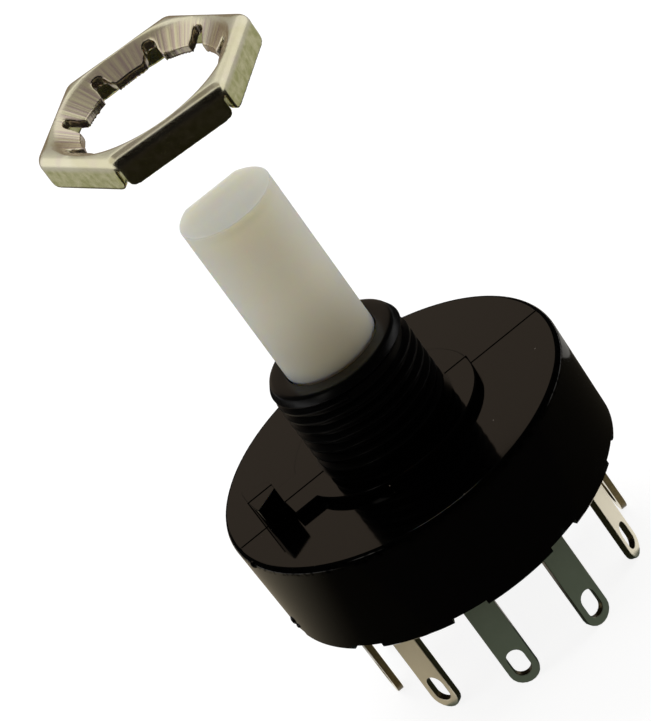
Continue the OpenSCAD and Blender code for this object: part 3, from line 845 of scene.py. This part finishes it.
# The cut edges are a dark brown, partly the bare brass's own tone and partly painted shade.
brass_brown_with_painted_shade = add_node(tree, "Mix", {FACTOR: tears, COLOUR_A: linear("#3d3625"), COLOUR_B: linear("#6f6140")},
                 data_type="RGBA")
surface_from(tree, add_node(tree, "BsdfPrincipled", {"Base Color": brass_brown_with_painted_shade, "Metallic": 1.0, "Roughness": 0.4}))
print("finishes:", tinned_brass.name, cut_brass.name)

# %% [markdown]
# ## Solder lugs
# Each terminal is a stamped strip: a pad under the wiper, a right-angled bend, and a lug with a round tip
# and a long eyelet for the wire. One strip is drawn flat as an outline with a hole, its top edge is spun
# through the bend and drawn out to the pad, and the sheet gets its thickness and its slightly rolled edges.
# Every lug is the same strip, turned about the axis to its own position.

# %% One strip, ten lugs
RING_R = mount_dims["solder_lugs"]["pcd_mm"] / 2
LUG_TIP_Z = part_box("terminal_1")[0].z / MM
LUG_W, LUG_T, LUG_ROLL = 2.0, 0.45, 0.06
BEND_IN, BEND_STEPS, PAD_IN = 0.25, 6, 6.7
EYE_W, EYE_L, EYE_END = 1.15, 2.0, 0.65
LUG_SHARP_DEG = 20
BEND_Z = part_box("terminal_1")[1].z / MM - LUG_T - BEND_IN
bend_x = RING_R - LUG_T / 2 - BEND_IN
# A full round stops a hair short of the middle, so that two roundings never meet in one point
HAIR = 0.001


def on_the_ring(y, z):
    return (RING_R, y, z)


def strip():
    """One terminal as a sheet that has no thickness yet"""
    bm = bmesh.new()
    half, tip_round = LUG_W / 2, LUG_W / 2 - HAIR
    wire(bm, [
        (-half, LUG_TIP_Z, tip_round), (half, LUG_TIP_Z, tip_round), (half, BEND_Z, 0), (-half, BEND_Z, 0),
    ], on_the_ring)
    eye_half, eye_round = EYE_W / 2, EYE_W / 2 - HAIR
    eye_low = LUG_TIP_Z + EYE_END
    eye_high = eye_low + EYE_L
    wire(bm, [
        (-eye_half, eye_low, eye_round), (eye_half, eye_low, eye_round),
        (eye_half, eye_high, eye_round), (-eye_half, eye_high, eye_round),
    ], on_the_ring)
    bmesh.ops.triangle_fill(bm, use_beauty=True, edges=bm.edges[:])
    top_edges = [edge for edge in bm.edges if edge_at(BEND_Z)(edge)]
    top_verts = [vert for vert in bm.verts if abs(vert.co.z - BEND_Z) < SAME]
    bent = bmesh.ops.spin(bm, geom=top_edges + top_verts, cent=(bend_x, 0, BEND_Z), axis=(0, -1, 0),
                          angle=math.pi / 2, steps=BEND_STEPS)["geom_last"]
    bent_edges = [part for part in bent if isinstance(part, bmesh.types.BMEdge)]
    drawn = bmesh.ops.extrude_edge_only(bm, edges=bent_edges)["geom"]
    bmesh.ops.translate(bm, vec=(PAD_IN - bend_x, 0, 0), verts=verts_in(drawn))
    return tidy(bm)


for number in range(POSITIONS):
    lug = strip()
    turn_about_axis(lug, math.tau * number / POSITIONS)
    sheet = object_from(lug, "scratch")
    for metal in (tinned_brass, cut_brass):
        sheet.data.materials.append(metal)
    add_modifier(sheet, "thickness", "SOLIDIFY", thickness=LUG_T, offset=0, material_offset_rim=1)
    add_modifier(sheet, "rolled_edges", "BEVEL", width=LUG_ROLL, segments=2, limit_method="ANGLE")
    finish_piece(evaluated(sheet), f"solder_lug_{number + 1}", "switch_body", f"terminal_{number + 1}",
                 "tinned_brass", tinned_brass, cut_brass, sharp_deg=LUG_SHARP_DEG)

# %% [markdown]
# ## Yellow passivated zinc
# The nut is pressed from steel sheet, zinc plated, and passivated yellow. The film on the zinc is thin
# enough to show colours as oil on water does: gold turns to a dusty pink from place to place, and to a
# mottled olive on the flanges. The fingers, where the press has stretched the film, are streaked with pink
# and cream.

# %% Colours of the film
nut_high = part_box("nut")[1] / MM
FLANGE_FADE = (0.7, 1.0)
FINGER_FADE, FINGER_MID_R, STRIA_MM = (6.1, 5.7), 5.4, 0.3

yellow_zinc, tree = new_material("yellow_passivated_zinc")
place = add_node(tree, "TexCoord", {}).outputs["Object"]
where = add_node(tree, "SeparateXYZ", {"Vector": place}).outputs
film = add_node(tree, "TexNoise", {"Vector": place, "Scale": per_size(2.6), "Detail": 3.0, "Distortion": 0.6})
warm = add_node(tree, "MapRange", {"Value": film, "From Min": 0.35, "From Max": 0.65})
gold = add_node(tree, "Mix", {FACTOR: warm, COLOUR_A: linear("#d9d2b0"), COLOUR_B: linear("#e4dec2")},
                data_type="RGBA")
bloom = add_node(tree, "TexNoise", {"Vector": place, "Scale": per_size(1.3), "Detail": 2.0})
pinkish = add_node(tree, "MapRange", {"Value": bloom, "From Min": 0.5, "From Max": 0.75, "To Max": 0.5})
dusty = add_node(tree, "Mix", {FACTOR: pinkish, COLOUR_A: gold, COLOUR_B: linear("#d6c6ba")},
                 data_type="RGBA")

patches = add_node(tree, "TexNoise", {"Vector": place, "Scale": per_size(0.5), "Detail": 3.0})
mixed = add_node(tree, "MapRange", {"Value": patches, "From Min": 0.35, "From Max": 0.65})
mottle = add_node(tree, "Mix", {FACTOR: mixed, COLOUR_A: linear("#b9b87a"), COLOUR_B: linear("#dcd7a6")},
                  data_type="RGBA")
on_flanges = add_node(tree, "MapRange", {
    "Value": where["Z"], "From Min": (nut_high.z - FLANGE_FADE[0]) * MM,
    "From Max": (nut_high.z - FLANGE_FADE[1]) * MM,
})
olive = add_node(tree, "Mix", {FACTOR: on_flanges, COLOUR_A: dusty, COLOUR_B: mottle}, data_type="RGBA")

angle = add_node(tree, "Math", {0: where["Y"], 1: where["X"]}, operation="ARCTAN2")
stria = add_node(tree, "TexNoise", {"W": angle, "Scale": FINGER_MID_R / STRIA_MM, "Detail": 2.0},
                 noise_dimensions="1D")
streaks = add_node(tree, "MapRange", {"Value": stria, "From Min": 0.35, "From Max": 0.65})
petals = add_node(tree, "Mix", {FACTOR: streaks, COLOUR_A: linear("#c8b7ab"), COLOUR_B: linear("#e2dab8")},
                  data_type="RGBA")
level = add_node(tree, "VectorMath", {0: place, 1: (1, 1, 0)}, operation="MULTIPLY")
from_axis = add_node(tree, "VectorMath", {0: level}, operation="LENGTH")
on_fingers = add_node(tree, "MapRange", {
    "Value": from_axis, "From Min": FINGER_FADE[0] * MM, "From Max": FINGER_FADE[1] * MM,
})
film_colour = add_node(tree, "Mix", {FACTOR: on_fingers, COLOUR_A: olive, COLOUR_B: petals}, data_type="RGBA")
print("nut's top at mm:", round(nut_high.z, 2))

# %% [markdown]
# On the bent fingers the press has also left fine flutes that run towards the hole. They follow the
# streaks, so one noise round the axis drives both. The grain of the plating lies over them, drawn coarser
# than it is.

# %% Press marks and surface of the nut
pressed = add_node(tree, "Math", {0: stria, 1: on_fingers}, operation="MULTIPLY")
flutes = add_node(tree, "Bump", {"Height": pressed, "Strength": 0.22, "Distance": 0.06 * MM})
grain = add_node(tree, "TexNoise", {"Vector": place, "Scale": per_size(0.16), "Detail": 2.0})
bump = add_node(tree, "Bump", {"Height": grain, "Strength": 0.12, "Distance": 0.01 * MM, "Normal": flutes})
satin = add_node(tree, "MapRange", {"Value": film, "To Min": 0.17, "To Max": 0.3})
surface_from(tree, add_node(tree, "BsdfPrincipled", {
    "Base Color": film_colour, "Metallic": 1.0, "Roughness": satin, "Normal": bump,
}))
print("finish:", yellow_zinc.name)

# %% [markdown]
# ## Pressed nut
# The nut is drawn from one sheet: a hexagonal cap whose six flanges are bent down, with a slit at each
# corner, and a round hole whose edge is cut into nine fingers bent in to catch the thread. The cap is a
# hexagon with its edges rolled over by a bevel, then given the sheet's thickness. The ring of fingers is
# turned and slotted. A fine voxel remesh fuses the two and a few rounds of smoothing soften every edge, as
# plating and pressing do.

# %% Hexagonal cap
NUT_H, NUT_AF, SHEET_T = 2.25, 13.2, 0.55
CORNER_ROLL, CORNER_STEPS, ROLL_R, ROLL_STEPS = 0.5, 5, 0.8, 7
SIDES, CORNER_DEG = 6, 30
SLIT_W, SLIT_TOP, FLANGE_ROUND = 0.22, 1.3, 0.5
corner_r = NUT_AF / math.cos(math.pi / SIDES) / 2
slit_half, slit_round = SLIT_W / 2, SLIT_W / 2 - 0.01
flare = SLIT_W + FLANGE_ROUND


def hex_block():
    """The outer form of the cap as a sheet that is open below"""
    bm = bmesh.new()
    bmesh.ops.create_circle(bm, cap_ends=True, segments=SIDES, radius=corner_r)
    walls = bmesh.ops.extrude_edge_only(bm, edges=bm.edges[:])["geom"]
    bmesh.ops.translate(bm, vec=(0, 0, -NUT_H), verts=verts_in(walls))
    bmesh.ops.translate(bm, vec=(0, 0, NUT_H), verts=bm.verts)
    round_edges(bm, lambda edge: abs(edge.verts[0].co.z - edge.verts[1].co.z) > NUT_H / 2, CORNER_ROLL,
                CORNER_STEPS)
    round_edges(bm, edge_at(NUT_H), ROLL_R, ROLL_STEPS)
    return tidy(bm)


cap_sheet = object_from(hex_block(), "scratch")
add_modifier(cap_sheet, "thickness", "SOLIDIFY", thickness=SHEET_T, offset=-1, use_even_offset=True)
cap = evaluated(cap_sheet)

slit = prism([
    (-flare, -SUNK, 0), (flare, -SUNK, 0), (flare, 0, 0),
    (slit_half, 0, FLANGE_ROUND), (slit_half, SLIT_TOP, slit_round),
    (-slit_half, SLIT_TOP, slit_round), (-slit_half, 0, FLANGE_ROUND), (-flare, 0, 0),
], lambda y, z: (NUT_AF / 2 - 2 * SHEET_T, y, z), (corner_r, 0, 0))
cap = combine(cap, ring_of(slit, SIDES, CORNER_DEG), "DIFFERENCE")
print("cap faces:", len(cap.faces), "open edges:", len(open_edges(cap)))

# %% Ring of fingers
FINGERS, FINGER_TURN, NUT_TURN = 9, 4.5, 23.0
HOLE_R, FINGER_ROOT_R, CONE_R = 6.25, 6.5, 6.15
TIP_R, TIP_DROP, TIP_DEPTH = CREST_R + 0.06, 1.15, 0.6
BEND_ROUND, TIP_TOP_ROUND, TIP_LOW_ROUND = 0.3, 0.08, 0.05
# One side of the slot between two fingers, from the hole outwards: radius, half width, rounding
SLOT_SIDE = [(3.7, 1.1, 0), (4.75, 0.62, 0), (5.1, 0.46, 0), (5.7, 0.4, 0.25)]

finger_ring = turned([
    (FINGER_ROOT_R, NUT_H, 0),
    (CONE_R, NUT_H, BEND_ROUND),
    (TIP_R, NUT_H - TIP_DROP, TIP_TOP_ROUND),
    (TIP_R, NUT_H - TIP_DROP - TIP_DEPTH, TIP_LOW_ROUND),
    (FINGER_ROOT_R, NUT_H - SHEET_T, 0),
])
slot_outline = [(x, -half, rounding) for x, half, rounding in SLOT_SIDE] + SLOT_SIDE[::-1]
slot_cut = prism(slot_outline, lambda x, y: (x, y, -SUNK), (0, 0, 2 * NUT_H))
first_slot = 180 / FINGERS + FINGER_TURN - NUT_TURN
finger_ring = combine(finger_ring, ring_of(slot_cut, FINGERS, first_slot), "DIFFERENCE")

envelope = hex_block()
bmesh.ops.holes_fill(envelope, edges=open_edges(envelope), sides=0)
finger_ring = combine(finger_ring, tidy(envelope), "INTERSECT")
print("finger ring faces:", len(finger_ring.faces), "open edges:", len(open_edges(finger_ring)))

# %% Nut fused and softened
VOXEL, SOFTEN_ROUNDS, SOFTEN, NUT_SHARP_DEG = 0.075, 3, 0.5, 80

cap = combine(cap, round_bar(HOLE_R, -NUT_H, 2 * NUT_H), "DIFFERENCE")
ring_mesh = bpy.data.meshes.new("scratch")
finger_ring.to_mesh(ring_mesh)
finger_ring.free()
cap.from_mesh(ring_mesh)
fused = object_from(cap, "scratch")
add_modifier(fused, "fuse", "REMESH", mode="VOXEL", voxel_size=VOXEL)
nut = evaluated(fused)
for _ in range(SOFTEN_ROUNDS):
    bmesh.ops.smooth_vert(nut, verts=nut.verts, factor=SOFTEN, use_axis_x=True, use_axis_y=True,
                          use_axis_z=True)
turn_about_axis(nut, math.radians(NUT_TURN))
bmesh.ops.translate(nut, vec=(0, 0, nut_high.z - NUT_H), verts=nut.verts)
finish_piece(nut, "pressed_nut", "nut", "nut", "yellow_zinc_steel", yellow_zinc, sharp_deg=NUT_SHARP_DEG)

# %% [markdown]
# ## Base and inner pieces
# The base that closes the cup is a satin black moulding, and in front of it work a slip washer, two steel
# balls with their spring, and a bronze wiper. Their CAD solids have the right shape, so they keep it and
# only get a finish.

# %% Finishes of the base and the inner pieces
def plain_finish(name, dark, light, size_mm, **shader):
    """A finish whose colour drifts between two hex values over patches of that size"""
    material, finish_tree = new_material(name)
    place = add_node(finish_tree, "TexCoord", {}).outputs["Object"]
    drift = add_node(finish_tree, "TexNoise", {"Vector": place, "Scale": per_size(size_mm)})
    colour = add_node(finish_tree, "Mix", {FACTOR: drift, COLOUR_A: linear(dark), COLOUR_B: linear(light)},
                      data_type="RGBA")
    relief = add_node(finish_tree, "Bump", {"Height": drift, "Strength": 0.15, "Distance": 0.01 * MM})
    surface_from(finish_tree, add_node(finish_tree, "BsdfPrincipled", {
        "Base Color": colour, "Normal": relief, **shader,
    }))
    return material


polished_steel = plain_finish("spring_steel_polished", "#b4b7ba", "#c4c7ca", 0.6, Metallic=1.0,
                              Roughness=0.18)
inner_finishes = {
    "base": plain_finish("black_phenolic_satin", "#0d0c0b", "#151312", 0.4, Roughness=0.35, IOR=1.55),
    "common_terminal": tinned_brass,
    "thrust_washer": plain_finish("slip_sheet", "#b9b4a2", "#c9c4b4", 0.8, Roughness=0.5),
    "wiper": plain_finish("spring_bronze_strip", "#a97c45", "#b98c55", 0.6, Metallic=1.0, Roughness=0.3),
    "detent_ball_1": polished_steel,
    "detent_ball_2": polished_steel,
    "detent_spring": polished_steel,
}
for name, finish in inner_finishes.items():
    frame["nodes"][name].data.materials.clear()
    frame["nodes"][name].data.materials.append(finish)
print("finishes on CAD nodes:", len(inner_finishes))
